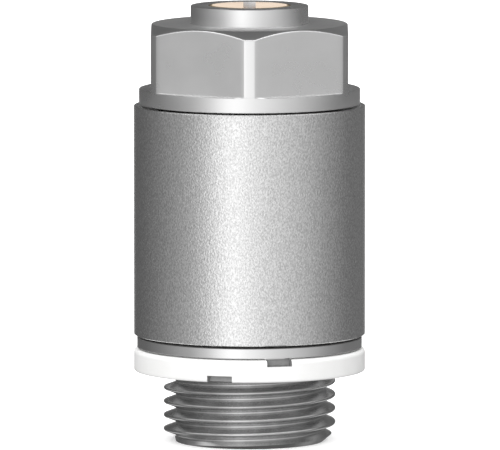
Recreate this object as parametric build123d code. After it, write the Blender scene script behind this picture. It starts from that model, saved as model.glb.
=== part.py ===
from build123d import *
import os
from math import cos, pi, radians, sin, tan

# One-way flow control valve with a hollow bolt, in millimetres.
# The bolt's axis is Z. z = 0 is the sealing plane, the underside of the sealing ring, and the
# male thread points down. The side port points along +Y. The regulating screw is shut.

# Male thread and its neck
thread_diameter = 16.662
thread_length = 6.89
thread_end_diameter = 14.32
thread_end_height = 1.0
neck_diameter = 14.6

# Barrel on the bolt's stem. The rings and the flange beside it follow its diameter.
stem_diameter = 17.6
body_wall = 2.4
body_diameter = stem_diameter + 2 * body_wall
body_height = 22.28
body_shoulder = 0.2
body_edge = 0.26
gap_under_body = 0.21
gap_over_body = 0.13

# Sealing ring
ring_diameter = body_diameter
ring_play = 0.8
ring_bore = neck_diameter + 2 * ring_play
ring_entry = 0.5
ring_height = 2.15
ring_shoulder = 0.3
notch_width = 2.46
notch_height = 0.63
notch_depth = 1.1
notches_each_edge = 3
notch_turn = 15.0

# Support collar under the barrel
collar_set_back = 0.3
collar_diameter = body_diameter - 2 * collar_set_back
collar_height = 1.13
collar_step = 0.35
collar_seat_diameter = stem_diameter - 2 * collar_step
collar_edge = 0.15

# Side port and the channel inside the barrel
port_length = 12.8
port_reach = body_diameter / 2 + port_length
port_boss_diameter = 20.0
port_boss_edge = 0.5
port_thread_bore = 14.95
port_thread_depth = 11.0
port_mouth_chamfer = 0.9
port_feed_diameter = 10.0
channel_depth = 0.7
channel_diameter = stem_diameter + 2 * channel_depth
channel_height = 10.6
bore_entry = 0.4

# Stem of the hollow bolt
stem_clearance = 0.03
waist_depth = 1.9
waist_diameter = stem_diameter - 2 * waist_depth
waist_height = 9.6
waist_ramp = 0.8
groove_depth = 1.2
groove_width = 2.0
groove_from_land = 1.9
cross_hole_diameter = 5.5
cross_holes = 4
seal_clearance = 0.01
seal_height = 1.46
seal_flat = 0.66

# Head of the hollow bolt
flange_set_back = 0.5
flange_diameter = body_diameter - 2 * flange_set_back
flange_height = 1.49
flats = 19.0
hex_height = 6.3
hex_top_diameter = 18.68
hex_chamfer_angle = 30.0
boss_diameter = 11.4
boss_height = 1.74
boss_edge = 0.15

# Regulating screw
screw_diameter = 7.8
screw_clearance = 0.1
screw_bore_length = 7.4
slot_width = 1.2
slot_depth = 1.7
needle_lift = 4.5
stop_gap = 0.1
land_diameter = 9.4
land_clearance = 0.05
land_height = 4.8
screw_groove_depth = 1.2
screw_groove_width = 1.6
screw_neck_diameter = 6.6
screw_neck_height = 0.9
needle_diameter = 4.6
needle_half_angle = 20.0
needle_tip_diameter = 1.2
needle_gap = 0.05

# Check valve inside the stud
chamber_diameter = 11.2
seat_below_holes = 0.7
seat_height = 2.8
seat_bore = 7.4
lip_width = 0.5
lip_height = 0.4
lip_gap = 0.02
orifice_diameter = 3.6
poppet_diameter = 9.4
poppet_thickness = 1.9
poppet_bore = 5.0
poppet_edge = 0.3
spigot_diameter = 6.4
spigot_height = 2.6
wings = 4
wing_width = 1.2
wing_clearance = 0.07
check_lift = 1.2
face_seal_inner = 6.6
face_seal_outer = 8.9
face_seal_height = 1.0
face_seal_stand = 0.16

# Spring, its retainer and the snap ring
spring_wire = 0.6
spring_diameter = 7.5
spring_active_turns = 4.4
spring_end_turns = 0.65
spring_facets = 14
spring_seat_gap = 0.02
retainer_depth = 3.5
mouth_diameter = 11.9
retainer_thickness = 1.2
retainer_clearance = 0.05
retainer_rim = 0.5
rim_clearance = 0.12
hub_diameter = 2.6
window_diameter = 6.7
spoke_width = 1.0
snap_thickness = 0.8
snap_clearance = 0.02
snap_groove_depth = 0.4
snap_reach = 0.9
snap_opening = 50.0
mouth_chamfer = 0.3

# How far a cutting shape stands past what it cuts
overshoot = 1.0

# Levels along the axis, from the sealing plane up
collar_bottom = ring_height
collar_top = collar_bottom + collar_height
body_bottom = collar_top + gap_under_body
body_top = body_bottom + body_height
flange_bottom = body_top + gap_over_body
flange_top = flange_bottom + flange_height
hex_top = flange_top + hex_height
boss_top = hex_top + boss_height
port_level = (body_bottom + body_top) / 2

# Levels inside the bolt
seat_top = port_level - cross_hole_diameter / 2 - seat_below_holes
seat_bottom = seat_top - seat_height
lip_bottom = seat_bottom - lip_height
face_seal_top = lip_bottom - lip_gap
poppet_top = face_seal_top - face_seal_stand
poppet_underside = poppet_top - poppet_thickness
screw_step = boss_top - screw_bore_length
land_top = screw_step - needle_lift - stop_gap
land_bottom = land_top - land_height
retainer_top = retainer_depth - thread_length
retainer_bottom = retainer_top - retainer_thickness
rim_top = retainer_top + retainer_rim
snap_top = retainer_bottom - snap_clearance
snap_bottom = snap_top - snap_thickness

# Radii that follow from a fit
body_bore_radius = stem_diameter / 2 + stem_clearance
land_bore_radius = land_diameter / 2 + land_clearance
screw_bore_radius = screw_diameter / 2 + screw_clearance
stem_groove_radius = stem_diameter / 2 - groove_depth
screw_groove_radius = land_diameter / 2 - screw_groove_depth
snap_groove_radius = mouth_diameter / 2 + snap_groove_depth
spring_outer_radius = (spring_diameter + spring_wire) / 2

# The two stem grooves, each measured from the end of the waist
waist_bottom = port_level - waist_height / 2 - waist_ramp
waist_top = port_level + waist_height / 2 + waist_ramp
lower_groove_level = waist_bottom - groove_from_land
upper_groove_level = waist_top + groove_from_land
screw_groove_level = (land_top + land_bottom) / 2

port_axis = Plane(origin=(0, 0, port_level), x_dir=(1, 0, 0), z_dir=(0, 1, 0))


def turned(*outline, arc=360):
    # Solid of revolution about Z from (radius, height) points.
    profile = make_face(Plane.XZ * Polyline(*outline, close=True))
    return revolve(profile, Axis.Z, arc)


def tube(inner, outer, bottom, top):
    return turned((inner, bottom), (outer, bottom), (outer, top), (inner, top))


def rod(radius, bottom, top):
    return turned((0, bottom), (radius, bottom), (radius, top), (0, top))


def o_ring(inner, outer, level):
    # An O-ring as it lies squeezed, flat against its groove and its bore and crowned between.
    inside, outside = inner + seal_clearance, outer - seal_clearance
    middle, crown, flat = (inside + outside) / 2, seal_height / 2, seal_flat / 2
    return turned(
        (inside, level - flat),
        (middle, level - crown),
        (outside, level - flat),
        (outside, level + flat),
        (middle, level + crown),
        (inside, level + flat),
    )


def make_hollow_bolt():
    thread = thread_diameter / 2
    stem = stem_diameter / 2
    waist = waist_diameter / 2
    seat = collar_seat_diameter / 2
    shaft = turned(
        (0, -thread_length),
        (thread_end_diameter / 2, -thread_length),
        (thread, thread_end_height - thread_length),
        (thread, 0),
        (neck_diameter / 2, 0),
        (neck_diameter / 2, collar_bottom),
        (seat, collar_bottom),
        (seat, collar_top),
        (stem, collar_top),
        (stem, waist_bottom),
        (waist, waist_bottom + waist_ramp),
        (waist, waist_top - waist_ramp),
        (stem, waist_top),
        (stem, flange_bottom),
        (0, flange_bottom),
    )
    for level in (lower_groove_level, upper_groove_level):
        half = groove_width / 2
        shaft -= tube(stem_groove_radius, stem + overshoot, level - half, level + half)

    # The hexagon is cut from a round bar, so its corners and its 30 degree chamfer are turned.
    bar, top = flange_diameter / 2, hex_top_diameter / 2
    chamfer_height = (bar - top) * tan(radians(hex_chamfer_angle))
    head = turned(
        (0, flange_top),
        (bar, flange_top),
        (bar, hex_top - chamfer_height),
        (top, hex_top),
        (0, hex_top),
    )
    hexagon = RegularPolygon(flats / 2, 6, major_radius=False, rotation=30)
    head &= Pos(0, 0, flange_top) * extrude(hexagon, hex_height)
    flange = rod(bar, flange_bottom, flange_top)
    boss = chamfer(rod(boss_diameter / 2, hex_top, boss_top).edges().sort_by(Axis.Z)[-1], boss_edge)
    bolt = shaft + flange + head + boss

    chamber, mouth = chamber_diameter / 2, mouth_diameter / 2
    bolt -= turned(
        (0, -thread_length),
        (mouth + mouth_chamfer, -thread_length),
        (mouth, mouth_chamfer - thread_length),
        (mouth, snap_bottom - snap_clearance),
        (snap_groove_radius, snap_bottom - snap_clearance),
        (snap_groove_radius, retainer_bottom),
        (mouth, retainer_bottom),
        (mouth, retainer_top),
        (chamber, retainer_top),
        (chamber, seat_top),
        (land_bore_radius, seat_top),
        (land_bore_radius, screw_step),
        (screw_bore_radius, screw_step),
        (screw_bore_radius, boss_top),
        (0, boss_top),
    )
    drill = Cylinder(cross_hole_diameter / 2, stem, align=(Align.CENTER, Align.CENTER, Align.MIN))
    for turn in range(cross_holes):
        bolt -= Pos(0, 0, port_level) * Rot(0, 0, turn * 360 / cross_holes) * Rot(0, 90, 0) * drill
    return bolt


def make_sealing_ring():
    inner, outer = ring_bore / 2, ring_diameter / 2
    ring = turned(
        (inner, ring_entry),
        (inner + ring_entry, 0),
        (outer - ring_shoulder / 2, 0),
        (outer, ring_shoulder / 2),
        (outer, ring_height - ring_shoulder),
        (outer - ring_shoulder, ring_height),
        (inner, ring_height),
    )
    notch = Pos(0, notch_depth / 2 - outer, 0) * Box(notch_width, notch_depth, notch_height)
    for step in range(notches_each_edge):
        around = step * 360 / notches_each_edge
        ring -= Rot(0, 0, around - notch_turn) * Pos(0, 0, notch_height / 2) * notch
        ring -= Rot(0, 0, around + notch_turn) * Pos(0, 0, ring_height - notch_height / 2) * notch
    return ring


def make_support_collar():
    inner, outer = collar_seat_diameter / 2, collar_diameter / 2
    return turned(
        (inner, collar_bottom),
        (outer - collar_edge, collar_bottom),
        (outer, collar_bottom + collar_edge),
        (outer, collar_top - collar_edge),
        (outer - collar_edge, collar_top),
        (inner, collar_top),
    )


def make_swivel_body():
    outer = body_diameter / 2
    barrel = turned(
        (0, body_bottom),
        (outer - body_edge, body_bottom),
        (outer, body_bottom + body_edge),
        (outer, body_top - body_shoulder),
        (outer - body_shoulder, body_top),
        (0, body_top),
    )
    boss = port_boss_diameter / 2
    body = barrel + port_axis * turned(
        (0, 0),
        (boss, 0),
        (boss, port_reach - port_boss_edge),
        (boss - port_boss_edge, port_reach),
        (0, port_reach),
    )

    # Bore for the stem, with entries that spare the O-rings, and the channel round the waist.
    bore, channel = body_bore_radius, channel_diameter / 2
    step = channel - bore
    low, high = port_level - channel_height / 2, port_level + channel_height / 2
    body -= turned(
        (0, body_bottom),
        (bore + bore_entry, body_bottom),
        (bore, body_bottom + bore_entry),
        (bore, low - step),
        (channel, low),
        (channel, high),
        (bore, high + step),
        (bore, body_top - bore_entry),
        (bore + bore_entry, body_top),
        (0, body_top),
    )

    # Threaded side port, its drilled end and the feed hole to the channel.
    thread, feed = port_thread_bore / 2, port_feed_diameter / 2
    thread_end = port_reach - port_thread_depth
    cone_end = thread_end - (thread - feed) * tan(radians(31))
    body -= port_axis * turned(
        (0, bore),
        (feed, bore),
        (feed, cone_end),
        (thread, thread_end),
        (thread, port_reach - port_mouth_chamfer),
        (thread + port_mouth_chamfer, port_reach),
        (0, port_reach),
    )
    return body


def make_regulating_screw():
    screw, land = screw_diameter / 2, land_diameter / 2
    neck, needle, tip = screw_neck_diameter / 2, needle_diameter / 2, needle_tip_diameter / 2
    # The cone closes the orifice where it passes the poppet's face.
    shut_radius = orifice_diameter / 2 - needle_gap
    slope = tan(radians(needle_half_angle))
    cone_top = poppet_top + (needle - shut_radius) / slope
    cone_bottom = poppet_top - (shut_radius - tip) / slope
    body = turned(
        (0, cone_bottom),
        (tip, cone_bottom),
        (needle, cone_top),
        (needle, land_bottom),
        (land, land_bottom),
        (land, land_top),
        (neck, land_top),
        (neck, land_top + screw_neck_height),
        (screw, land_top + screw_neck_height),
        (screw, boss_top),
        (0, boss_top),
    )
    low, high = (screw_groove_level + side * screw_groove_width / 2 for side in (-1, 1))
    body -= tube(screw_groove_radius, land + overshoot, low, high)
    slot = Box(slot_width, screw_diameter + overshoot, slot_depth)
    return body - Pos(0, 0, boss_top - slot_depth / 2) * slot


def make_valve_seat():
    outer, bore = chamber_diameter / 2, seat_bore / 2
    return turned(
        (bore, lip_bottom),
        (bore + lip_width, lip_bottom),
        (bore + lip_width + lip_height / 2, seat_bottom),
        (outer, seat_bottom),
        (outer, seat_top),
        (bore + lip_width, seat_top),
        (bore, seat_top - lip_width),
    )


def make_check_poppet():
    head, bore, orifice = poppet_diameter / 2, poppet_bore / 2, orifice_diameter / 2
    spigot, wing_bottom = spigot_diameter / 2, rim_top + check_lift + lip_gap
    poppet = turned(
        (orifice, poppet_underside),
        (bore, poppet_underside - (bore - orifice)),
        (bore, poppet_underside - spigot_height),
        (spigot, poppet_underside - spigot_height),
        (spigot, poppet_underside),
        (head, poppet_underside),
        (head, poppet_top - poppet_edge),
        (head - poppet_edge, poppet_top),
        (orifice, poppet_top),
    )
    seal_bottom = face_seal_top - face_seal_height
    poppet -= tube(face_seal_inner / 2, face_seal_outer / 2, seal_bottom, poppet_top + overshoot)

    # Guide wings: sectors of a tube that runs in the chamber, outside the spring.
    wing_outer = chamber_diameter / 2 - wing_clearance
    wing_inner = spring_outer_radius + rim_clearance
    guide = tube(wing_inner, wing_outer, wing_bottom, poppet_underside)
    guide += tube(face_seal_outer / 2, wing_outer, poppet_underside, poppet_top - poppet_edge)
    strip = Pos(wing_outer / 2, 0, 0) * Box(wing_outer, wing_width, body_height)
    for turn in range(wings):
        poppet += guide & (Rot(0, 0, (turn + 0.5) * 360 / wings) * strip)
    return poppet


def make_poppet_seal():
    seal_bottom = face_seal_top - face_seal_height
    return tube(face_seal_inner / 2, face_seal_outer / 2, seal_bottom, face_seal_top)


def make_check_spring():
    # The wire's middle line: a closed end turn, the active turns and a closed end turn again.
    radius, wire = spring_diameter / 2, spring_wire / 2
    bottom, top = retainer_top + spring_seat_gap + wire, poppet_underside - spring_seat_gap - wire
    turns = spring_active_turns + 2 * spring_end_turns
    steps = round(turns * spring_facets)
    line = []
    for step in range(steps + 1):
        turn = step * turns / steps
        rise = min(max((turn - spring_end_turns) / spring_active_turns, 0), 1)
        angle = 2 * pi * turn
        line.append((radius * cos(angle), radius * sin(angle), bottom + rise * (top - bottom)))
    path = Polyline(*line)
    section = Plane(origin=path @ 0, z_dir=path % 0) * RegularPolygon(wire, 6)
    return sweep(section, path=path, transition=Transition.RIGHT)


def make_spring_retainer():
    outer = mouth_diameter / 2 - retainer_clearance
    rim_outer = chamber_diameter / 2 - wing_clearance
    rim_inner = spring_outer_radius + rim_clearance
    disc = rod(outer, retainer_bottom, retainer_top)
    disc += tube(rim_inner, rim_outer, retainer_top, rim_top)
    low, high = retainer_bottom - overshoot, retainer_top + overshoot
    window = tube(hub_diameter / 2, window_diameter / 2, low, high)
    for turn in (0, 90):
        window -= Rot(0, 0, turn) * Box(window_diameter + overshoot, spoke_width, 2 * thread_length)
    return disc - window


def make_snap_ring():
    outer = snap_groove_radius - snap_clearance
    inner = mouth_diameter / 2 - snap_reach
    ring = turned(
        (inner, snap_bottom), (outer, snap_bottom), (outer, snap_top), (inner, snap_top),
        arc=360 - snap_opening,
    )
    # The opening faces +Y.
    return Rot(0, 0, 90 + snap_opening / 2) * ring


pieces = {
    "hollow_bolt": make_hollow_bolt(),
    "sealing_ring": make_sealing_ring(),
    "support_collar": make_support_collar(),
    "swivel_body": make_swivel_body(),
    "upper_stem_seal": o_ring(stem_groove_radius, body_bore_radius, upper_groove_level),
    "lower_stem_seal": o_ring(stem_groove_radius, body_bore_radius, lower_groove_level),
    "regulating_screw": make_regulating_screw(),
    "screw_seal": o_ring(screw_groove_radius, land_bore_radius, screw_groove_level),
    "valve_seat": make_valve_seat(),
    "check_poppet": make_check_poppet(),
    "poppet_seal": make_poppet_seal(),
    "check_spring": make_check_spring(),
    "spring_retainer": make_spring_retainer(),
    "snap_ring": make_snap_ring(),
}

os.makedirs("parts", exist_ok=True)
for name, piece in pieces.items():
    export_step(piece, f"parts/{name}.step")
    print(name, round(piece.volume, 2))
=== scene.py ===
from math import acos, asin, atan2, ceil, cos, floor, hypot, pi, radians, sin, sqrt, tan
from types import SimpleNamespace

import bmesh
import bpy
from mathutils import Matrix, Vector


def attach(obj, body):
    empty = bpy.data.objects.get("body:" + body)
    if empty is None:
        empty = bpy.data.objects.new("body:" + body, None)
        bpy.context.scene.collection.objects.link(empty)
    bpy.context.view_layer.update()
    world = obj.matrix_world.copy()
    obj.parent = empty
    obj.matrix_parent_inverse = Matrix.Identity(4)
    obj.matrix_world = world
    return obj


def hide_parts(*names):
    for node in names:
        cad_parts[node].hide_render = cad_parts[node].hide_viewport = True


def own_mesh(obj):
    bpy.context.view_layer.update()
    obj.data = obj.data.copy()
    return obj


# One-way flow control valve: hexagon bolt with its needle screw, swivelling barrel, sealing ring.
# Sizes in the dictionaries are millimetres unless a note says metres, and those across a round form are
# radii. The bolt's axis is +Z, and the side port points along +Y.
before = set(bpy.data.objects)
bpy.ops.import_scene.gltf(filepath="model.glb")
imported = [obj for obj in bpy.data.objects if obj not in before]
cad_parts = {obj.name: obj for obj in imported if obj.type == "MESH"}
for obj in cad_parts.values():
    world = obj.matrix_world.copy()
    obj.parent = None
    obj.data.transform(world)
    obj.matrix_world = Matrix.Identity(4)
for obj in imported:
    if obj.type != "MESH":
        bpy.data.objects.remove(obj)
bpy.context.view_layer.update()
print("frame loaded:", len(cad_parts), "solids")

millimetre = 0.001


# How the pieces are made: outlines stood up round an axis, and welded into closed meshes.

making = {
    "weld": 3e-7,           # metres; points closer than this become one
    "shortest": 2e-7,       # metres; shorter edges are taken out
    "sharpAngle": 32,       # degrees; edges that turn more than this stay sharp
    "turnedSteps": 144,     # steps round a plain turned piece
    "mostEased": 0.46,      # the largest share of a side that one rounding takes
}


def weldedObject(name, grids, capped=False):
    # One mesh from grids of points. A grid is a list of columns, all with the same number of points.
    # Columns that meet are welded. A cutter is capped, which closes its two open ends.
    points, faces = [], []
    for columns in grids:
        rows, start = len(columns[0]), len(points)
        for column in columns:
            points += [(x * millimetre, y * millimetre, z * millimetre) for x, y, z in column]
        for c in range(len(columns) - 1):
            here, there = start + c * rows, start + (c + 1) * rows
            faces += [(here + k, there + k, there + k + 1, here + k + 1) for k in range(rows - 1)]
    mesh = bpy.data.meshes.new(name)
    mesh.from_pydata(points, [], faces)
    work = bmesh.new()
    work.from_mesh(mesh)
    bmesh.ops.remove_doubles(work, verts=work.verts, dist=making["weld"])
    if capped:
        bmesh.ops.holes_fill(work, edges=[edge for edge in work.edges if edge.is_boundary], sides=0)
    else:
        bmesh.ops.dissolve_degenerate(work, edges=work.edges, dist=making["shortest"])
    bmesh.ops.recalc_face_normals(work, faces=work.faces)
    openEdges = sum(len(edge.link_faces) != 2 for edge in work.edges)
    work.to_mesh(mesh)
    work.free()
    welded = bpy.data.objects.new(name, mesh)
    bpy.context.scene.collection.objects.link(welded)
    print(f"{name}: {len(mesh.polygons)} faces, {openEdges} open edges")
    return welded


def shadeSmooth(mesh, sharpAngle):
    mesh.shade_smooth()
    mesh.set_sharp_from_angle(angle=radians(sharpAngle))


def makePiece(name, grids, body, node, sharpAngle=making["sharpAngle"]):
    piece = weldedObject(name, grids)
    shadeSmooth(piece.data, sharpAngle)
    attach(piece, body)
    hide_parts(node)
    return piece


def cutAway(piece, cutters):
    # Takes the cutters away from a piece and deletes them.
    for cutter in cutters:
        cut = piece.modifiers.new("cut", "BOOLEAN")
        cut.operation, cut.solver, cut.object = "DIFFERENCE", "EXACT", cutter
    bpy.context.view_layer.update()
    evaluated = piece.evaluated_get(bpy.context.evaluated_depsgraph_get())
    mesh = bpy.data.meshes.new_from_object(evaluated)
    piece.modifiers.clear()
    uncut, piece.data = piece.data, mesh
    mesh.name = piece.name
    bpy.data.meshes.remove(uncut)
    for cutter in cutters:
        bpy.data.objects.remove(cutter)
    shadeSmooth(mesh, making["sharpAngle"])


def easedOutline(sizes, corners, closed=True, steps=3):
    # Rounds off the corners of an outline. A corner is its distance from the axis, its height, and how far
    # back along its two sides the rounding starts, each as a number or as a name in the piece's sizes.
    # The ends of an open outline stay as they are.
    corners = [[sizes[part] if isinstance(part, str) else part for part in corner] for corner in corners]
    points = []
    for i, (r, z, ease) in enumerate(corners):
        if not closed and i in (0, len(corners) - 1):
            points.append((r, z))
            continue
        ends = []
        for other in (corners[i - 1], corners[(i + 1) % len(corners)]):
            side = hypot(other[0] - r, other[1] - z)
            back = min(ease, making["mostEased"] * side) / side if side else 0
            ends.append((r + (other[0] - r) * back, z + (other[1] - z) * back))
        for s in range(steps + 1):
            t = s / steps
            points.append(tuple((1 - t) ** 2 * a + 2 * t * (1 - t) * corner + t * t * b
                                for a, corner, b in zip(ends[0], (r, z), ends[1])))
    if closed:
        points.append(points[0])
    return points


def around(outline, angle):
    # Stands an outline up at an angle about the bolt's axis.
    return [(r * cos(angle), r * sin(angle), z) for r, z in outline]


def circle(steps, start=0.0, sweep=2 * pi):
    return [start + sweep * i / steps for i in range(steps + 1)]


def turnedPiece(name, sizes, corners, body, node, steps=making["turnedSteps"]):
    outline = easedOutline(sizes, corners)
    return makePiece(name, [[around(outline, a) for a in circle(steps)]], body, node)


# Screw threads. Their dictionaries give the radius at crest and root, the roundings there, and a level
# at which a crest stands.

def roundedThread(pitch, depth, crestRound, rootRound, steps=5):
    # Thread form from one crest to the next as (share of the pitch, share of the depth):
    # a round crest and a round root with straight flanks between them.
    halfPitch, between = pitch / 2, depth - crestRound - rootRound
    flank = atan2(halfPitch, between) - asin((crestRound + rootRound) / hypot(halfPitch, between))
    half = []
    for i in range(steps + 1):
        a = (pi / 2 - flank) * i / steps
        half.append((crestRound * sin(a) / pitch, (depth - crestRound * (1 - cos(a))) / depth))
    for i in range(steps, -1, -1):
        a = (pi / 2 - flank) * i / steps
        half.append((0.5 - rootRound * sin(a) / pitch, rootRound * (1 - cos(a)) / depth))
    return half + [(1 - share, out) for share, out in reversed(half[1:-1])]


def threadRows(thread, turn):
    # Points along a screw thread on one side of its cylinder, as (radius, height). turn is how far round
    # that side is, from 0 to 1. The rows climb with the helix, so crest and root stay crisp.
    low, high, pitch, start = (thread[k] for k in ("low", "high", "pitch", "start"))
    depth = thread["crest"] - thread["root"]
    shape = roundedThread(pitch, depth, thread["crestRound"], thread["rootRound"])
    looped = shape + [(1 + shape[0][0], shape[0][1])]

    def outAt(height):
        phase = ((height - start) / pitch - turn) % 1
        for (a, fromOut), (b, toOut) in zip(looped, looped[1:]):
            if a <= phase <= b:
                return fromOut + (toOut - fromOut) * (phase - a) / (b - a)
        return looped[0][1]

    rows = []
    for lap in range(floor((low - start) / pitch) - 1, ceil((high - start) / pitch) + 1):
        for share, out in shape:
            height = start + (turn + lap + share) * pitch
            if not low <= height <= high:
                height = min(max(height, low), high)
                out = outAt(height)
            rows.append((thread["root"] + out * depth, height))
    return rows


# The hollow bolt: thread at the bottom, stem with its waist and ring grooves, flange, hexagon, boss.

pipeThread = {
    "pitch": 1.337,
    "crest": 8.331,
    "root": 7.16,
    "low": -6.89,
    "high": 0.9,
    "start": -1.7,          # at the left side
    "crestRound": 0.17,
    "rootRound": 0.15,
}

bolt = {
    "endHeight": 1.0,       # over this height the thread grows to its full size
    "runOut": -0.13,        # from this level up it fades into the neck
    "neck": 7.3,
    "neckGap": 0.02,
    "seat": 8.45,           # the metal ring is pressed on here
    "seatLow": 2.15,
    "seatHigh": 3.28,
    "stem": 8.8,
    "ringGroove": 7.6,
    "ringGrooveHalf": 1.0,
    "lowerGroove": 7.13,
    "upperGroove": 22.13,
    "waist": 6.9,
    "waistLow": 9.03,
    "waistHigh": 20.23,
    "waistRamp": 0.8,
    "flange": 10.7,
    "flangeLow": 25.90,
    "flangeHigh": 27.39,
    "flats": 19.0,          # across the hexagon
    "bar": 10.68,           # the round bar that the hexagon is milled from
    "hexTop": 33.69,
    "hexTopRadius": 9.34,
    "hexChamfer": 30,       # degrees
    "cornerEase": 0.045,
    "boss": 5.7,
    "bossTop": 35.43,
    "screwBore": 4.0,
    "screwBoreLow": 28.03,
    "landBore": 4.75,
    "landBoreLow": 11.18,
    "chamber": 5.6,
    "chamberLow": -3.39,
    "mouth": 5.95,
    "mouthChamfer": 0.3,
    "snapGroove": 6.35,
    "snapHigh": -4.59,
    "snapLow": -5.43,
    "edge": 0.05,           # how far edges are rounded: plain ones, and then those that differ
    "keenEdge": 0.03,
    "softEdge": 0.1,
    "footEdge": 0.08,
    "rimEdge": 0.14,
    "hexEdge": 0.13,
    "boreEdge": 0.07,
    "mouthEdge": 0.04,
    "waistEdge": 0.3,
    "grooveFloorEdge": 0.2,
    "crossHole": 2.75,
    "crossLevel": 14.63,
    "crossReach": 9.5,
    "crossSteps": 48,
    "flatSteps": 26,        # steps along one flat of the hexagon
    "cornerSteps": 8,       # steps over one of its corners
    "cornerNear": 0.35,     # and extra ones this share of a step before and after each end of it
}


def hexRadius(angle):
    # Distance of the hexagon's face from the axis; the corners are turned off to the bar's radius.
    part = (angle + pi / 6) % (pi / 3) - pi / 6
    flat, bar, soft = bolt["flats"] / 2 / cos(part), bolt["bar"], bolt["cornerEase"]
    mix = min(max(0.5 + (bar - flat) / (2 * soft), 0), 1)
    return bar + (flat - bar) * mix - soft * mix * (1 - mix)


def hexAngles():
    # Even steps over the flats and fine ones over the narrow corners.
    corner = pi / 6 - acos(bolt["flats"] / 2 / bolt["bar"])
    half = pi / 6 - corner
    along, over, near = bolt["flatSteps"], bolt["cornerSteps"], bolt["cornerNear"]
    cornerPlaces = [-near, near, *range(1, over), over - near, over + near]
    angles = []
    for side in range(6):
        middle = side * pi / 3
        angles += circle(along, middle - half, 2 * half)
        angles += [middle + half + 2 * corner * place / over for place in cornerPlaces]
    angles = sorted(set(round(a % (2 * pi), 9) for a in angles))
    return angles + [angles[0] + 2 * pi]


def ringGroove(level):
    # Corners of a groove for a rubber ring in the stem.
    low, high = level - bolt["ringGrooveHalf"], level + bolt["ringGrooveHalf"]
    return [("stem", low, "footEdge"), ("ringGroove", low, "grooveFloorEdge"),
            ("ringGroove", high, "grooveFloorEdge"), ("stem", high, "footEdge")]


def boltCorners(face):
    # Corners of the bolt from its neck up, over the boss and down its bore. face is how far out the
    # hexagon stands on this side.
    b = bolt
    chamferTop = b["hexTop"] - (face - b["hexTopRadius"]) * tan(radians(b["hexChamfer"]))
    outside = [
        ("neck", pipeThread["high"] + b["neckGap"], 0), ("neck", "seatLow", "edge"),
        ("seat", "seatLow", "edge"), ("seat", "seatHigh", "keenEdge"), ("stem", "seatHigh", "softEdge"),
        *ringGroove(b["lowerGroove"]),
        ("stem", "waistLow", "softEdge"), ("waist", b["waistLow"] + b["waistRamp"], "waistEdge"),
        ("waist", b["waistHigh"] - b["waistRamp"], "waistEdge"), ("stem", "waistHigh", "softEdge"),
        *ringGroove(b["upperGroove"]),
        ("stem", "flangeLow", "softEdge"), ("flange", "flangeLow", "footEdge"),
        ("flange", "flangeHigh", "rimEdge"), (face, "flangeHigh", "edge"), (face, chamferTop, "hexEdge"),
        ("hexTopRadius", "hexTop", "hexEdge"), ("boss", "hexTop", "footEdge"), ("boss", "bossTop", "rimEdge"),
    ]
    inside = [
        ("screwBore", "bossTop", "boreEdge"), ("screwBore", "screwBoreLow", "edge"),
        ("landBore", "screwBoreLow", "edge"), ("landBore", "landBoreLow", "edge"),
        ("chamber", "landBoreLow", "edge"), ("chamber", "chamberLow", "softEdge"),
        ("mouth", "chamberLow", "edge"), ("mouth", "snapHigh", "keenEdge"),
        ("snapGroove", "snapHigh", "keenEdge"), ("snapGroove", "snapLow", "keenEdge"),
        ("mouth", "snapLow", "keenEdge"), ("mouth", pipeThread["low"] + b["mouthChamfer"], "mouthEdge"),
        (b["mouth"] + b["mouthChamfer"], pipeThread["low"], "mouthEdge"),
        (pipeThread["root"], pipeThread["low"], 0),
    ]
    return outside + inside


def crossDrill(turn):
    # The drill that makes two cross holes opposite each other, turned about the bolt's axis.
    radius, reach = bolt["crossHole"], bolt["crossReach"]
    columns = []
    for a in circle(bolt["crossSteps"]):
        aside, level = radius * cos(a), bolt["crossLevel"] + radius * sin(a)
        columns.append([(along * cos(turn) - aside * sin(turn), along * sin(turn) + aside * cos(turn), level)
                        for along in (-reach, reach)])
    return weldedObject("crossDrill", [columns], capped=True)


def makeBolt():
    low, crest, root = (pipeThread[k] for k in ("low", "crest", "root"))
    angles = hexAngles()
    # the helix is set to the first column and followed to the last without a jump
    crestLevel = pipeThread["start"] + pipeThread["pitch"] * (angles[0] - pi) / (2 * pi)
    thread = dict(pipeThread, start=crestLevel)
    columns = []
    for angle in angles:
        rows = []
        for r, z in threadRows(thread, (angle - angles[0]) / (2 * pi)):
            growing = root + (z - low) * (crest - root) / bolt["endHeight"]
            fading = crest - (z - bolt["runOut"])
            rows.append((max(min(r, growing, fading), min(root, r)), z))
        outline = rows + easedOutline(bolt, boltCorners(hexRadius(angle)), closed=False)
        columns.append(around(outline, angle))
    piece = makePiece("hollowBolt", [columns], "bolt", "hollow_bolt")
    cutAway(piece, [crossDrill(0), crossDrill(pi / 2)])
    return piece


hollowBolt = makeBolt()


# The regulating screw with its needle: slotted at the top, sealed on its land.

screwThread = {
    "pitch": 0.75,
    "crest": 3.9,
    "root": 3.5,
    "low": 24.9,
    "high": 35.1,
    "start": 24.9,
    "crestRound": 0.06,
    "rootRound": 0.08,
}

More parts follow.
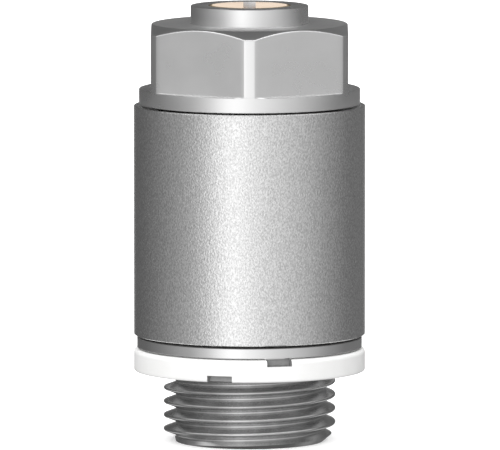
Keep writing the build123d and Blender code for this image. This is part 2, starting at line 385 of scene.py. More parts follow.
screw = {
    "coneLow": 4.640,       # the needle: tip, cone and shank
    "tip": 0.6,
    "coneHigh": 9.301,
    "shank": 2.3,
    "land": 4.7,
    "landLow": 18.63,
    "landHigh": 23.43,
    "groove": 3.5,
    "grooveLow": 20.23,
    "grooveHigh": 21.83,
    "neck": 3.3,
    "neckHigh": 24.33,
    "threadGap": 0.05,
    "underRoot": 0.01,      # the thread's ends go no deeper than this below its root
    "top": bolt["bossTop"],
    "topRadius": 3.88,
    "topLow": 35.18,        # the plain rim above the thread
    "chamfer": 0.18,
    "slotWidth": 1.2,
    "slotDepth": 1.7,
    "slotReach": 5.0,
    "slotAbove": 1.0,       # how far the cutter stands out at the top
    "edge": 0.15,           # how far edges are rounded
    "coneEdge": 0.3,
    "neckEdge": 0.1,
    "rimEdge": 0.06,
    "threadEdge": 0.04,
    "slotEdge": 0.12,
    "steps": 120,
}


def makeScrew():
    s, root, crest = screw, screwThread["root"], screwThread["crest"]
    needleEnd = easedOutline(screw, [
        (0, "coneLow", 0), ("tip", "coneLow", "edge"), ("shank", "coneHigh", "coneEdge"),
        ("shank", "landLow", "edge"), ("land", "landLow", "edge"), ("land", "grooveLow", "rimEdge"),
        ("groove", "grooveLow", "edge"), ("groove", "grooveHigh", "edge"), ("land", "grooveHigh", "rimEdge"),
        ("land", "landHigh", "edge"), ("neck", "landHigh", "edge"), ("neck", "neckHigh", "neckEdge"),
        (root, screwThread["low"] - s["threadGap"], 0)], closed=False)
    columns = []
    for angle in circle(s["steps"]):
        rows = []
        for r, z in threadRows(screwThread, angle / (2 * pi)):
            growing = root + (z - screwThread["low"])
            fading = crest + (s["top"] - s["chamfer"] - z)
            rows.append((max(min(r, growing, fading), root - s["underRoot"]), z))
        slottedEnd = easedOutline(screw, [
            (*rows[-1], 0), ("topRadius", "topLow", "threadEdge"),
            ("topRadius", s["top"] - s["chamfer"], "rimEdge"),
            (s["topRadius"] - s["chamfer"], "top", "rimEdge"), (0, "top", 0)], closed=False)
        columns.append(around(needleEnd + rows + slottedEnd, angle))
    piece = makePiece("regulatingScrew", [columns], "screw", "regulating_screw")
    half, low, high = s["slotWidth"] / 2, s["top"] - s["slotDepth"], s["top"] + s["slotAbove"]
    slot = easedOutline(screw, [
        (-half, high, 0), (-half, low, "slotEdge"), (half, low, "slotEdge"), (half, high, 0)])
    slotEnds = [[(x, y, z) for x, z in slot] for y in (-s["slotReach"], s["slotReach"])]
    cutAway(piece, [weldedObject("slotCutter", [slotEnds], capped=True)])
    return piece


regulatingScrew = makeScrew()


# The barrel that swivels on the bolt, and the threaded port on its side.

portThread = {
    "pitch": 1.337,
    "crest": 8.33,          # a female thread, so this is the bottom of its groove
    "root": 7.475,
    "low": 13.2,
    "high": 24.0,
    "start": 13.2,
    "crestRound": 0.18,
    "rootRound": 0.18,
}

barrel = {
    "radius": 11.2,
    "low": 3.49,
    "high": 25.77,
    "shoulder": 0.22,
    "bottomEdge": 0.1,
    "bore": 8.83,
    "boreEntry": 0.4,
    "channel": 9.5,
    "channelLow": 9.33,
    "channelHigh": 19.93,
    "portLevel": bolt["crossLevel"],
    "boss": 10.0,           # round the port
    "bossChamfer": 0.5,
    "reach": portThread["high"],    # of the boss, from the bolt's axis
    "fillet": 0.8,          # between barrel and boss
    "drill": portThread["root"],
    "drillEnd": 13.0,
    "coneEnd": 11.513,
    "feed": 5.0,            # the hole from the port into the channel
    "mouthChamfer": 0.9,
    "mouthLip": 0.06,
    "runOutSlope": 0.7,
    "threadGap": 0.02,
    "edge": 0.06,           # how far edges are rounded
    "bossEdge": 0.12,
    "drillEdge": 0.1,
    "upSteps": 36,          # steps up the wall, over the back half and over the front half
    "backSteps": 60,
    "frontSteps": 96,
    "wallSteps": 12,        # steps from the edge of the back half to the boss
    "filletSteps": 8,
    "channelSteps": 8,
}


def backHalfEdge():
    # Steps round the edge of the barrel's back half, which is a rectangle with the port in its middle. A
    # step is its angle round the port, its angle round the bolt, and its share of the height.
    up, over = barrel["upSteps"], barrel["backSteps"]
    edge = [(0, i / up) for i in range(up)] + [(i / over, 1) for i in range(over)]
    edge += [(1, 1 - i / up) for i in range(up)] + [(1 - i / over, 0) for i in range(over)]
    steps = []
    for sideways, upwards in edge:
        portAngle = atan2(2 * upwards - 1, 1 - 2 * sideways)
        if steps and portAngle < steps[-1][0]:
            portAngle += 2 * pi
        steps.append((portAngle, pi * sideways, upwards))
    first = steps[0]
    return steps + [(first[0] + 2 * pi, *first[1:])]


def wallWay(radius, fromAngle, fromLevel, toAngle, toLevel, steps):
    # Points along a round wall, from one place on it to another.
    way = []
    for t in (i / steps for i in range(steps + 1)):
        angle = fromAngle + (toAngle - fromAngle) * t
        way.append((radius * cos(angle), radius * sin(angle), fromLevel + (toLevel - fromLevel) * t))
    return way


def portStrip(portAngle, boltAngle, upwards, turn):
    # A strip of the back half: along the wall to the boss, over it, down the port's thread, and back along
    # the channel's wall.
    b = barrel
    level, radius, fillet, channel = b["portLevel"], b["radius"], b["fillet"], b["channel"]
    low, high = b["low"] + b["bottomEdge"], b["high"] - b["shoulder"]
    c, s = cos(portAngle), sin(portAngle)

    # the rounding at the boss is the path of a ball that rolls round it, from where it touches the barrel
    ballX, ballZ = (b["boss"] + fillet) * c, (b["boss"] + fillet) * s
    ballY = sqrt((radius + fillet) ** 2 - ballX ** 2)
    touch = (ballX * radius / (radius + fillet), ballY * radius / (radius + fillet), level + ballZ)
    strip = wallWay(radius, boltAngle, low + (high - low) * upwards, atan2(touch[1], touch[0]), touch[2],
                    b["wallSteps"])
    ball = Vector((ballX, ballY, level + ballZ))
    fromWay, toWay = (Vector(touch) - ball).normalized(), Vector((-c, 0, -s))
    for i in range(1, b["filletSteps"] + 1):
        strip.append(tuple(ball + fromWay.slerp(toWay, i / b["filletSteps"]) * fillet))

    drill, mouth, lip = b["drill"], b["drill"] + b["mouthChamfer"], b["mouthLip"]
    outside = easedOutline(barrel, [
        ("boss", ballY, 0), ("boss", b["reach"] - b["bossChamfer"], "bossEdge"),
        (b["boss"] - b["bossChamfer"], "reach", "bossEdge"), (mouth, "reach", lip),
        (mouth - lip, b["reach"] - lip, 0)], closed=False, steps=4)
    rows = []
    for r, y in reversed(threadRows(portThread, turn)):
        chamfered = mouth - (b["reach"] - y)
        growing = drill + max(0, (y - portThread["low"]) * b["runOutSlope"])
        rows.append((max(min(r, growing), chamfered), min(y, b["reach"] - lip)))
    feedEnd = sqrt(channel ** 2 - (b["feed"] * c) ** 2)
    inside = easedOutline(barrel, [
        ("drill", portThread["low"] - b["threadGap"], 0), ("drill", "drillEnd", "drillEdge"),
        ("feed", "coneEnd", "drillEdge"), ("feed", feedEnd, 0)], closed=False)
    strip += [(r * c, y, level + r * s) for r, y in outside[1:] + rows + inside]

    edgeLevel = b["channelLow"] + (b["channelHigh"] - b["channelLow"]) * upwards
    back = wallWay(channel, atan2(feedEnd, b["feed"] * c), level + b["feed"] * s, boltAngle, edgeLevel,
                   b["channelSteps"])
    return strip + back[1:]


def frontWall(radius, low, high, angles):
    up = barrel["upSteps"]
    return [around([(radius, low + (high - low) * i / up) for i in range(up + 1)], a) for a in angles]


def makeBarrel():
    b = barrel
    radius, channel, channelLow, channelHigh = b["radius"], b["channel"], b["channelLow"], b["channelHigh"]
    low, high = b["low"] + b["bottomEdge"], b["high"] - b["shoulder"]
    edge = backHalfEdge()
    backHalf = [portStrip(*step, 1 - (step[0] - edge[0][0]) / (2 * pi)) for step in edge]
    frontAngles = circle(b["frontSteps"], pi, pi)
    wall = frontWall(radius, low, high, frontAngles)
    channelWall = frontWall(channel, channelLow, channelHigh, frontAngles)

    # top and bottom, with the bore
    entry, step = b["boreEntry"], channel - b["bore"]
    top = easedOutline(barrel, [
        ("radius", high, 0), ("radius", "high", "shoulder"), (b["bore"] + entry, "high", "edge"),
        ("bore", b["high"] - entry, "edge"), ("bore", channelHigh + step, "edge"),
        ("channel", "channelHigh", 0)], closed=False, steps=5)
    bottom = easedOutline(barrel, [
        ("channel", "channelLow", 0), ("bore", channelLow - step, "edge"), ("bore", b["low"] + entry, "edge"),
        (b["bore"] + entry, "low", "edge"), (radius - b["bottomEdge"], "low", "edge"),
        ("radius", low, 0)], closed=False, steps=5)
    allAngles = circle(b["backSteps"], 0, pi)[:-1] + frontAngles
    ends = [[around(outline, a) for a in allAngles] for outline in (top, bottom)]
    grids = [backHalf, wall, channelWall, *ends]
    return makePiece("swivelBarrel", grids, "barrel", "swivel_body")


swivelBarrel = makeBarrel()


# The white sealing ring, with notches in both its edges.

ring = {
    "bore": 8.1,
    "boreEntry": 0.5,
    "radius": barrel["radius"],
    "height": bolt["seatLow"],
    "shoulder": 0.34,
    "lowerEdge": 0.16,
    "entryEdge": 0.08,
    "boreEdge": 0.12,
    "notches": 3,           # at each edge
    "notchTurn": 15.0,      # degrees that they are turned to either side
    "notchHalf": 1.23,
    "notchHeight": 0.63,
    "notchFloor": 10.1,
    "notchSteps": 6,
    "notchShare": 0.8,      # share of a notch's width that has these steps
    "edgeSteps": 12,
    "floorShare": 0.35,     # share of those steps that climbs a notch's floor
    "stepAngle": 1.8,       # degrees
    "besideNotch": 0.6,     # degrees
    "sharpAngle": 40,
}


def ringEdge(height, ease, inwards, notched):
    # The outside edge from the ring's flat to its wall, or the notch in its place.
    steps, share = ring["edgeSteps"], ring["floorShare"]
    flat, wall, deep = ring["notchFloor"], ring["radius"], ring["notchHeight"]
    points = []
    for i in range(steps + 1):
        t = i / steps
        rounded = (t - 0.5) * 2
        if notched and t < share:
            points.append((flat, height + inwards * deep * t / share))
        elif notched:
            points.append((flat + (wall - flat) * (t - share) / (1 - share), height + inwards * deep))
        elif t < 0.5:
            points.append((flat + (wall - ease - flat) * t * 2, height))
        elif rounded < 0.5:
            a = rounded * pi
            points.append((wall - ease + ease * sin(a), height + inwards * ease * (1 - cos(a))))
        else:
            points.append((wall, height + inwards * (ease + (deep - ease) * (rounded - 0.5) * 2)))
    return points


def ringOutline(lowerNotch, upperNotch):
    under = easedOutline(ring, [
        ("bore", "boreEntry", 0), (ring["bore"] + ring["boreEntry"], 0, "entryEdge"), ("notchFloor", 0, 0)],
        closed=False)
    lower = ringEdge(0, ring["lowerEdge"], 1, lowerNotch)
    upper = ringEdge(ring["height"], ring["shoulder"], -1, upperNotch)
    over = easedOutline(ring, [
        ("notchFloor", "height", 0), ("bore", "height", "boreEdge"), ("bore", "boreEntry", 0)], closed=False)
    return under[:-1] + lower + upper[::-1] + over[1:]


def makeRing():
    r = ring
    plain = ringOutline(False, False)
    lowerNotch, upperNotch = ringOutline(True, False), ringOutline(False, True)
    marks = []
    for i in range(r["notches"]):
        middle = i * 360 / r["notches"] - 90
        marks.append((radians(middle - r["notchTurn"]), lowerNotch))
        marks.append((radians(middle + r["notchTurn"]), upperNotch))
    columns = []
    for (middle, notched), (nextMiddle, _) in zip(marks, marks[1:] + [(marks[0][0] + 2 * pi, None)]):
        within = asin(r["notchHalf"] / r["radius"]) * r["notchShare"]
        for side, outlines in ((-1, (plain, notched)), (1, (notched, plain))):
            for outline in outlines:
                # the notch's two sides are parallel, so a column there keeps its distance from the middle
                column = []
                for radius, z in outline:
                    a = middle + side * asin(r["notchHalf"] / max(radius, r["notchFloor"]))
                    column.append((radius * cos(a), radius * sin(a), z))
                columns.append(column)
            if side < 0:
                columns += [around(notched, a) for a in circle(r["notchSteps"], middle - within, 2 * within)]
        gap = asin(r["notchHalf"] / r["notchFloor"]) + radians(r["besideNotch"])
        span = nextMiddle - middle - 2 * gap
        steps = round(span / radians(r["stepAngle"]))
        columns += [around(plain, a) for a in circle(steps, middle + gap, span)]
    columns.append(columns[0])
    return makePiece("sealingRing", [columns], "bolt", "sealing_ring", r["sharpAngle"])


sealingRing = makeRing()


# The metal ring under the barrel, and the valve seat in the bolt.

collar = {
    "inner": bolt["seat"],
    "outer": 10.9,
    "low": bolt["seatLow"],
    "high": bolt["seatHigh"],
    "seam": 0.15,           # the fine gap above the white ring
    "seamDepth": 0.7,
    "outerEdge": 0.15,
    "innerEdge": 0.08,
    "lowerEdge": 0.03,
    "seamEdge": 0.05,
    "seamFloorEdge": 0.02,
    "steps": 192,
}
seamRadius, seamTop = collar["outer"] - collar["seamDepth"], collar["low"] + collar["seam"]
supportCollar = turnedPiece("supportCollar", collar, [
    ("inner", "low", "lowerEdge"), (seamRadius, "low", "seamFloorEdge"),
    (seamRadius, seamTop, "seamFloorEdge"), ("outer", seamTop, "seamEdge"),
    ("outer", "high", "outerEdge"), ("inner", "high", "innerEdge")],
    "bolt", "support_collar", collar["steps"])

seat = {
    "bore": 3.7,
    "outer": bolt["chamber"],
    "low": 8.38,
    "high": bolt["landBoreLow"],
    "lipWidth": 0.5,
    "lipHeight": 0.4,
    "lipEdge": 0.1,
    "edge": 0.06,
}
lip, lipLow = seat["bore"] + seat["lipWidth"], seat["low"] - seat["lipHeight"]
valveSeat = turnedPiece("valveSeat", seat, [
    ("bore", lipLow, "lipEdge"), (lip, lipLow, "lipEdge"), (lip + seat["lipHeight"] / 2, "low", "lipEdge"),
    ("outer", "low", "edge"), ("outer", "high", "edge"), (lip, "high", "edge"),
    ("bore", seat["high"] - seat["lipWidth"], "edge")], "bolt", "valve_seat")


# The rubber rings: two on the stem, one on the screw's land and one in the poppet's face.

rubber = {
    "squareness": 2.4,      # 2 is a round section, more is squeezed
    "sectionSteps": 32,
    "steps": 128,
    "sharpAngle": 60,
}
stemSeal = {"inner": 7.61, "outer": 8.82, "height": 1.46}
landSeal = {"inner": 3.51, "outer": 4.74, "height": 1.46, "level": 21.03}
faceSeal = {"inner": 3.3, "outer": 4.45, "low": 6.96, "high": 7.96, "lowerEdge": 0.05, "upperEdge": 0.14}


def rubberRing(name, size, level, body, node):
    # An O-ring as it lies squeezed between groove and bore.
    middle, half = (size["inner"] + size["outer"]) / 2, (size["outer"] - size["inner"]) / 2
    power = 2 / rubber["squareness"]
    outline = []
    for a in circle(rubber["sectionSteps"]):
        c, s = cos(a), sin(a)
        outline.append((middle + half * abs(c) ** power * (1 if c >= 0 else -1),
                        level + size["height"] / 2 * abs(s) ** power * (1 if s >= 0 else -1)))
    outline[-1] = outline[0]
    columns = [around(outline, a) for a in circle(rubber["steps"])]
    return makePiece(name, [columns], body, node, rubber["sharpAngle"])


upperStemSeal = rubberRing("upperStemSeal", stemSeal, bolt["upperGroove"], "bolt", "upper_stem_seal")
lowerStemSeal = rubberRing("lowerStemSeal", stemSeal, bolt["lowerGroove"], "bolt", "lower_stem_seal")
needleSeal = rubberRing("needleSeal", landSeal, landSeal["level"], "screw_ring", "screw_seal")
poppetSeal = turnedPiece("poppetSeal", faceSeal, [
    ("inner", "low", "lowerEdge"), ("outer", "low", "lowerEdge"), ("outer", "high", "upperEdge"),
    ("inner", "high", "upperEdge")], "poppet", "poppet_seal")


# The spring that closes the check poppet.

coil = {
    "radius": 3.75,
    "wire": 0.3,
    "low": -3.37,
    "high": 5.88,
    "turns": 4.4,
    "endTurns": 0.65,       # flat turns at each end
    "softStart": 0.035,     # how gently the pitch starts and ends
    "lift": 1.2,            # the poppet's travel
    "steps": 300,
    "wireSteps": 14,
    "sharpAngle": 50,
}


def endCap(section):
    # All points in the middle of the section, so that the faces to it close the wire's end.
    corners = section[:-1]
    return [tuple(sum(p[n] for p in corners) / len(corners) for n in range(3))] * len(section)


def makeSpring():
    radius, wire = coil["radius"], coil["wire"]
    low, high = coil["low"] + wire, coil["high"] - wire
    columns = []
    for turn in circle(coil["steps"], 0, coil["turns"] + 2 * coil["endTurns"]):
        rise = min(max((turn - coil["endTurns"]) / coil["turns"], 0), 1)
        rise -= coil["softStart"] * sin(2 * pi * rise)
        level = low + (high - low) * rise
        section = [(radius + wire * cos(w), level + wire * sin(w)) for w in circle(coil["wireSteps"])]
        columns.append(around(section, 2 * pi * turn))
    columns = [endCap(columns[0])] + columns + [endCap(columns[-1])]
    piece = makePiece("checkSpring", [columns], "bolt", "check_spring", coil["sharpAngle"])
    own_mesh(piece)
    return piece


checkSpring = makeSpring()
print("pieces made")


# Finishes, each with its own grain and shine. Scales are grains for a metre, depths are metres.

def newFinish(name, colour, metallic, roughness, specular=0.5):
    finish = bpy.data.materials.new(name)
    finish.use_nodes = True
    finish.diffuse_color = (*colour, 1)
    base = finish.node_tree.nodes["Principled BSDF"]
    base.inputs["Base Color"].default_value = (*colour, 1)
    base.inputs["Metallic"].default_value = metallic
    base.inputs["Roughness"].default_value = roughness
    base.inputs["Specular IOR Level"].default_value = specular
    return finish


def grey(value):
    return (value, value, value)


def grain(finish, scale, detail=3.0, rough=0.5, stretch=(1, 1, 1)):
    # Noise that sits on the piece itself.
    nodes, links = finish.node_tree.nodes, finish.node_tree.links
    where = nodes.new("ShaderNodeTexCoord")
    mapping = nodes.new("ShaderNodeMapping")
    mapping.inputs["Scale"].default_value = stretch
    links.new(where.outputs["Object"], mapping.inputs["Vector"])
    noise = nodes.new("ShaderNodeTexNoise")
    noise.inputs["Scale"].default_value = scale
    noise.inputs["Detail"].default_value = detail
    noise.inputs["Roughness"].default_value = rough
    links.new(mapping.outputs["Vector"], noise.inputs["Vector"])
    return noise.outputs["Fac"]


def ramp(tree, value, stops):
    # Runs a value from 0 to 1 through colours. A stop is its place and its colour.
    scale = tree.nodes.new("ShaderNodeValToRGB")
    scale.color_ramp.elements[0].position = stops[0][0]
    scale.color_ramp.elements[1].position = stops[-1][0]
    for place, _ in stops[1:-1]:
        scale.color_ramp.elements.new(place)
    for element, (place, colour) in zip(scale.color_ramp.elements, stops):
        element.position = place
        element.color = (*colour, 1)
    tree.links.new(value, scale.inputs["Fac"])
    return scale.outputs["Color"]


def vary(finish, noise, look, spread=0.15, shineSpread=0.2):
    # Colour and roughness wander between two values with the noise, over a spread round its middle.
    tree = finish.node_tree
    base = tree.nodes["Principled BSDF"]
    colour = ramp(tree, noise, [(0.5 - spread, look["dark"]), (0.5 + spread, look["light"])])
    shine = [(0.5 - shineSpread, grey(look["shiny"])), (0.5 + shineSpread, grey(look["dull"]))]
    tree.links.new(colour, base.inputs["Base Color"])
    tree.links.new(ramp(tree, noise, shine), base.inputs["Roughness"])


def pit(finish, noise, look):
    tree = finish.node_tree
    relief = tree.nodes.new("ShaderNodeBump")
    relief.inputs["Strength"].default_value = look["strength"]
    relief.inputs["Distance"].default_value = look["depth"]
    tree.links.new(noise, relief.inputs["Height"])
    tree.links.new(relief.outputs["Normal"], tree.nodes["Principled BSDF"].inputs["Normal"])


def tumbledZinc():
    look = {"dark": grey(0.61), "light": grey(0.87), "spread": 0.14, "shiny": 0.15, "dull": 0.21,
            "grain": 6800, "detail": 1.5, "rough": 0.6, "stretch": (1, 1, 0.7),
            "pits": 6000, "pitDetail": 1.0, "strength": 0.35, "depth": 0.00009}
    finish = newFinish("tumbledZinc", grey(0.78), metallic=1.0, roughness=0.18)
    specks = grain(finish, look["grain"], look["detail"], look["rough"], look["stretch"])
    vary(finish, specks, look, look["spread"])
    pit(finish, grain(finish, look["pits"], look["pitDetail"]), look)
    return finish


def cloudedMetal(name, colour, metallic, roughness, cloud, shine, tone=0.02):
    # fresh from the lathe: even, with a little cloud in its colour and its shine
    look = {"dark": [value - tone for value in colour], "light": [value + tone for value in colour],
            "shiny": roughness - shine, "dull": roughness + shine}
    finish = newFinish(name, colour, metallic, roughness)
    vary(finish, grain(finish, cloud, detail=4.0), look)
    return finish


def turnedAluminium(name, tone, roughness):
    return cloudedMetal(name, grey(tone), 1.0, roughness, cloud=260, shine=0.03)


def turnedBrass(name, colour, metallic, roughness):
    return cloudedMetal(name, colour, metallic, roughness, cloud=300, shine=0.04)


def paintedThreadAndBoreShade():
    # painted shade: the thread and the bore round the screw get a darker grey than the rest of the bolt
    look = {"cloud": 700, "dark": grey(0.57), "light": grey(0.63), "shiny": 0.21, "dull": 0.27}
    finish = newFinish("paintedThreadAndBoreShade", grey(0.6), metallic=1.0, roughness=0.24)
    vary(finish, grain(finish, look["cloud"]), look)
    return finish


def mouldedWhite():
    look = {"cloud": 500, "dark": (0.89, 0.89, 0.88), "light": (0.92, 0.92, 0.915),
            "shiny": 0.42, "dull": 0.5}
    finish = newFinish("mouldedWhite", (0.9, 0.9, 0.89), metallic=0.0, roughness=0.45, specular=0.35)
    vary(finish, grain(finish, look["cloud"]), look)
    return finish


def blackRubber():
    look = {"grain": 4000, "dark": grey(0.017), "light": grey(0.03), "shiny": 0.48, "dull": 0.62,
            "strength": 0.1, "depth": 0.00001}
    finish = newFinish("blackRubber", (0.022, 0.022, 0.023), metallic=0.0, roughness=0.55, specular=0.4)
    fine = grain(finish, look["grain"])
    vary(finish, fine, look)
    pit(finish, fine, look)
    return finish


# a plain grey: the poppet's own plastic, and also the painted shade in the notches and under the barrel
def greyPlasticAndShade(name, tone):
    look = {"grain": 3000, "dark": grey(tone * 0.92), "light": grey(tone * 1.08), "shiny": 0.42,
            "dull": 0.55, "strength": 0.1, "depth": 0.00001}
    finish = newFinish(name, grey(tone), metallic=0.0, roughness=0.5, specular=0.45)
    fine = grain(finish, look["grain"])
    vary(finish, fine, look)
    pit(finish, fine, look)
    return finish


def drawnSteel():
    look = {"grain": 2000, "dark": grey(0.54), "light": grey(0.66), "shiny": 0.24, "dull": 0.38}
    finish = newFinish("drawnSteel", (0.6, 0.6, 0.61), metallic=1.0, roughness=0.3)
    vary(finish, grain(finish, look["grain"]), look)
    return finish


finishes = {
    "zinc": tumbledZinc(),
    "aluminium": turnedAluminium("turnedAluminium", tone=0.85, roughness=0.29),
    "polished": turnedAluminium("polishedAluminium", tone=0.82, roughness=0.16),
    "faced": turnedAluminium("facedAluminium", tone=0.72, roughness=0.5),
    # painted shade: the darker grey on the thread and the screw's bore
    "thread": paintedThreadAndBoreShade(),
    "brass": turnedBrass("turnedBrass", (0.84, 0.64, 0.38), metallic=0.9, roughness=0.3),
    "screwFace": turnedBrass("satinBrass", (0.80, 0.65, 0.515), metallic=0.3, roughness=0.4),
    "white": mouldedWhite(),
    "rubber": blackRubber(),
    # the poppet's plastic, also used as painted shade on the metal ring's face under the barrel
    "plasticAndGapShade": greyPlasticAndShade("greyPlasticAndShade", tone=0.17),
    # painted shade for the faces inside the white ring's notches
    "notchShade": greyPlasticAndShade("paintedNotchShade", tone=0.33),
    "steel": drawnSteel(),
}

for piece, finish in ((hollowBolt, "aluminium"), (regulatingScrew, "brass"), (swivelBarrel, "zinc"),
                      (sealingRing, "white"), (supportCollar, "polished"), (valveSeat, "brass"),
                      (upperStemSeal, "rubber"), (lowerStemSeal, "rubber"), (needleSeal, "rubber"),
                      (poppetSeal, "rubber"), (checkSpring, "steel")):
    piece.data.materials.clear()
    piece.data.materials.append(finishes[finish])
for node, finish in {"check_poppet": "plasticAndGapShade", "spring_retainer": "brass", "snap_ring": "steel"}.items():
    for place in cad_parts[node].material_slots:
        place.material = finishes[finish]

# Where a piece has a second finish: how far out from the axis and how high the middle of a face is.
patches = {
    "threadOut": 7.1,       # the male thread
    "boreOut": 4.06,        # the bore that the screw turns in
    "boreLow": 28.1,
    "boreHigh": 35.4,
    "hexTopLow": 33.6,      # the hexagon's top face
    "hexTopHigh": 33.75,
    "flat": 0.95,           # a face is as good as flat when it faces up this much
    "slottedOut": 3.55,     # the screw's slotted end
    "slottedLow": 33.5,
    "notchNear": 0.06,      # the floors of the white ring's notches
    "shelfLow": 0.5,        # and their shelves
    "shelfHigh": 1.65,
    # painted shade: the metal ring's face under the barrel is made dark grey
    "gapShadeLow": 3.2,      # the metal ring's face under the barrel
    "facing": 0.5,          # how much a face has to point one way to count as facing it
}


def refinish(piece, finish, chosen):
    # A further finish on the faces that are chosen by where they are and how they face.
    piece.data.materials.append(finishes[finish])
    for face in piece.data.polygons:
        middle, normal = face.center / millimetre, face.normal
        out = hypot(middle.x, middle.y)
        alongRing = abs(normal.y * middle.x - normal.x * middle.y) / max(out, millimetre)
        if chosen(SimpleNamespace(out=out, level=middle.z, up=normal.z, alongRing=alongRing)):
            face.material_index = len(piece.data.materials) - 1


# painted shade: picks the thread faces and the bore round the screw for the darker grey
def isThreadAndBoreShade(face):
    onThread = face.level < pipeThread["high"] and face.out > patches["threadOut"]
    beside = patches["boreLow"] < face.level < patches["boreHigh"]
    return onThread or (beside and face.out < patches["boreOut"])


def isHexTop(face):
    return face.up > patches["flat"] and patches["hexTopLow"] < face.level < patches["hexTopHigh"]


def isSlotted(face):
    return face.level > patches["slottedLow"] and face.out < patches["slottedOut"]


def isNotch(face):
    # painted shade: the notch faces get a mid grey, darker than the white ring
    level, upwards = face.level, abs(face.up)
    onFloor = abs(face.out - ring["notchFloor"]) < patches["notchNear"] and upwards < patches["facing"]
    onShelf = patches["shelfLow"] < level < patches["shelfHigh"] and upwards > patches["facing"]
    return onFloor or onShelf or face.alongRing > patches["facing"]


def isGapShade(face):
    # painted shade: the metal ring's face under the barrel is dark grey, so the gap under the barrel reads
    # dark
    return face.up > patches["facing"] and face.level > patches["gapShadeLow"]


# painted shade on the thread and in the bore round the screw
refinish(hollowBolt, "thread", isThreadAndBoreShade)
refinish(hollowBolt, "faced", isHexTop)
refinish(regulatingScrew, "screwFace", isSlotted)
# painted shade in the white ring's notches
refinish(sealingRing, "notchShade", isNotch)
# painted shade on the metal ring's face under the barrel
refinish(supportCollar, "plasticAndGapShade", isGapShade)
print("finishes on")


# Floor, light and camera.

studio = {
    "floorLevel": pipeThread["low"],
    "floorSize": 3000,          # each way from the middle
    "floorTone": 0.93,
    "floorGlow": 0.4,           # keeps the floor white where the valve shades it
    "cameraTarget": (0.045, 0.0, 14.07),
    "cameraDistance": 1016.0,
    "cameraElevation": 6.0,     # degrees
    "farthest": 20000,          # that the camera sees
    "sensor": 36.0,
    "lens": 756.0,
    "aim": (0.0, 0.0, 12.0),    # what the lights point at
}

# places and sizes in metres
lights = {
    "topPanel": {"place": (0.0, 0.0, 1.2), "size": 1.6, "watts": 26},
    "frontPanel": {"place": (-0.2, -1.1, 0.2), "size": 0.6, "watts": 8},
}


def makeFloor():
    size, level = studio["floorSize"] * millimetre, studio["floorLevel"] * millimetre
    corners = [(x * size, y * size, level) for x, y in ((-1, -1), (1, -1), (1, 1), (-1, 1))]
    mesh = bpy.data.meshes.new("floor")
    mesh.from_pydata(corners, [], [(0, 1, 2, 3)])
    floorPlane = bpy.data.objects.new("floor", mesh)
    bpy.context.scene.collection.objects.link(floorPlane)
    paint = newFinish("paleFloor", grey(studio["floorTone"]), metallic=0.0, roughness=0.9, specular=0.0)
    nodes, links = paint.node_tree.nodes, paint.node_tree.links
    base = nodes["Principled BSDF"]
    base.inputs["Emission Color"].default_value = (1, 1, 1, 1)
    base.inputs["Emission Strength"].default_value = studio["floorGlow"]
    # from underneath the floor is left out, so that the valve can be looked at from below
    clear, mix, side = (nodes.new(kind) for kind in (
        "ShaderNodeBsdfTransparent", "ShaderNodeMixShader", "ShaderNodeNewGeometry"))
    links.new(side.outputs["Backfacing"], mix.inputs["Fac"])
    links.new(base.outputs["BSDF"], mix.inputs[1])
    links.new(clear.outputs["BSDF"], mix.inputs[2])
    links.new(mix.outputs["Shader"], nodes["Material Output"].inputs["Surface"])
    mesh.materials.append(paint)
    # the room's own light stands in for what the floor would throw back
    floorPlane.visible_glossy = False
    floorPlane.visible_diffuse = False


room = {
    # brightness of the light round the valve, by degrees from the front to the right
    "around": [(-180, 0.11), (-130, 0.145), (-105, 0.22), (-80, 0.34), (-63, 0.44), (-46, 0.66), (-30, 1.08),
               (-16, 1.34), (-4, 1.14), (12, 0.93), (28, 0.78), (45, 0.66), (62, 0.52), (85, 0.33),
               (115, 0.185), (150, 0.18), (180, 0.145)],
    "above": [(-180, 0.12), (-90, 0.15), (0, 0.22), (90, 0.15), (180, 0.12)],
    # how much of the light round about there is at each height, in degrees from level
    "share": [(-90, 0.0), (-60, 0.3), (-40, 0.6), (-22, 1.0), (20, 1.0), (40, 0.12), (90, 0.0)],
    "soft": 0.52,               # what matt surfaces get from every side
    "backdrop": 1.0,            # what the camera sees
}

# Panels of light in that room: where they stand round about and in height, and how bright they are. The
# front and side lamps draw the bright lines on rounded edges, the others serve views from behind and above.
panels = {
    "frontLamp": {
        "around": [(-180, 0), (-110, 0), (-80, 1), (80, 1), (110, 0), (180, 0)],
        "height": [(-90, 0), (43, 0), (48, 1), (62, 1), (68, 0), (90, 0)],
        "light": 2.2,
    },
    "sideLamps": {
        "around": [(-112, 0), (-100, 1), (-64, 1), (-52, 0), (52, 0), (64, 1), (100, 1), (112, 0)],
        "height": [(-90, 0), (16, 0), (21, 1), (38, 1), (43, 0), (90, 0)],
        "light": 0.95,
    },
    "backStrip": {
        "around": [(-180, 1), (-173, 1), (-165, 0), (165, 0), (173, 1), (180, 1)],
        "height": [(-90, 0), (-14, 0), (-11, 1), (-1, 1), (3, 0), (90, 0)],
        "light": 0.8,
    },
    "backGlow": {
        "around": [(-160, 0), (-146, 1), (-122, 1), (-102, 0), (102, 0), (122, 1), (146, 1), (160, 0)],
        "height": [(-90, 0), (-50, 0), (-40, 1), (-19, 1), (-13, 0), (90, 0)],
        "light": 0.7,
    },
    "zenith": {
        "around": [(-180, 1), (180, 1)],
        "height": [(-90, 0), (80, 0), (86, 1), (90, 1)],
        "light": 0.55,
    },
}


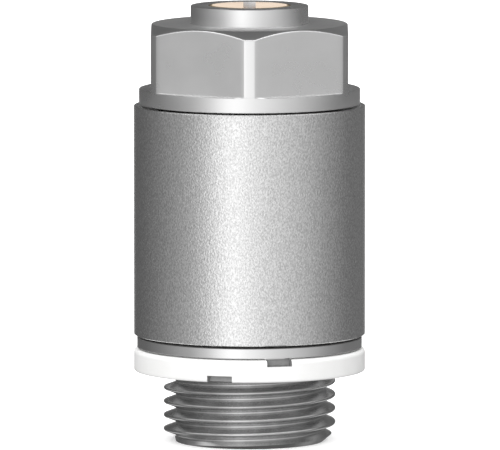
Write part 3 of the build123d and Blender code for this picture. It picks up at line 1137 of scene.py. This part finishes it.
def makeRoom():
    world = bpy.data.worlds.new("room")
    bpy.context.scene.world = world
    world.use_nodes = True
    tree = world.node_tree
    where = tree.nodes.new("ShaderNodeTexCoord")
    split = tree.nodes.new("ShaderNodeSeparateXYZ")
    tree.links.new(where.outputs["Generated"], split.inputs["Vector"])

    def calc(operation, *values):
        node = tree.nodes.new("ShaderNodeMath")
        node.operation = operation
        for value, socket in zip(values, node.inputs):
            if isinstance(value, (int, float)):
                socket.default_value = value
            else:
                tree.links.new(value, socket)
        return node.outputs[0]

    # the turn round about and the height, both run from 0 to 1
    x, y, z = (split.outputs[k] for k in "XYZ")
    turn = calc("MULTIPLY_ADD", calc("ARCTAN2", x, calc("MULTIPLY", y, -1.0)), 1 / (2 * pi), 0.5)
    height = calc("MULTIPLY_ADD", calc("ARCSINE", z), 1 / pi, 0.5)

    def byTurn(stops):
        return ramp(tree, turn, [(degrees / 360 + 0.5, grey(light)) for degrees, light in stops])

    def byHeight(stops):
        return ramp(tree, height, [(degrees / 180 + 0.5, grey(light)) for degrees, light in stops])

    def layer(under, over, share):
        # Mixes one light over another. over is a socket or a plain brightness.
        mix = tree.nodes.new("ShaderNodeMix")
        mix.data_type = "RGBA"
        tree.links.new(share, mix.inputs["Factor"])
        tree.links.new(under, mix.inputs["A"])
        if isinstance(over, float):
            mix.inputs["B"].default_value = (*grey(over), 1)
        else:
            tree.links.new(over, mix.inputs["B"])
        return mix.outputs["Result"]

    # metal mirrors the bright front, matt surfaces get even light, and the camera sees a white room
    colour = layer(byTurn(room["above"]), byTurn(room["around"]), byHeight(room["share"]))
    for panel in panels.values():
        shape = calc("MULTIPLY", byTurn(panel["around"]), byHeight(panel["height"]))
        colour = layer(colour, panel["light"], shape)
    ray = tree.nodes.new("ShaderNodeLightPath")
    colour = layer(colour, room["soft"], ray.outputs["Is Diffuse Ray"])
    colour = layer(colour, room["backdrop"], ray.outputs["Is Camera Ray"])
    tree.links.new(colour, tree.nodes["Background"].inputs["Color"])


def makeLights():
    for name, light in lights.items():
        lamp = bpy.data.lights.new(name, "AREA")
        lamp.size, lamp.energy = light["size"], light["watts"]
        holder = bpy.data.objects.new(name, lamp)
        holder.location = light["place"]
        holder.rotation_mode = "QUATERNION"
        way = Vector(studio["aim"]) * millimetre - Vector(light["place"])
        holder.rotation_quaternion = way.to_track_quat("-Z", "Y")
        holder.visible_glossy = False
        bpy.context.scene.collection.objects.link(holder)


def makeCamera():
    lens = bpy.data.cameras.new("camera")
    lens.sensor_width, lens.lens = studio["sensor"], studio["lens"]
    lens.clip_end = studio["farthest"] * millimetre
    camera = bpy.data.objects.new("camera", lens)
    rise = radians(studio["cameraElevation"])
    back = Vector((0, -cos(rise), sin(rise)))
    target = Vector(studio["cameraTarget"]) * millimetre
    camera.location = target + back * studio["cameraDistance"] * millimetre
    camera.rotation_mode = "QUATERNION"
    camera.rotation_quaternion = (-back).to_track_quat("-Z", "Y")
    bpy.context.scene.collection.objects.link(camera)
    bpy.context.scene.camera = camera


makeFloor()
makeRoom()
makeLights()
makeCamera()
bpy.context.scene.view_settings.view_transform = "Standard"
print("floor, light and camera ready")
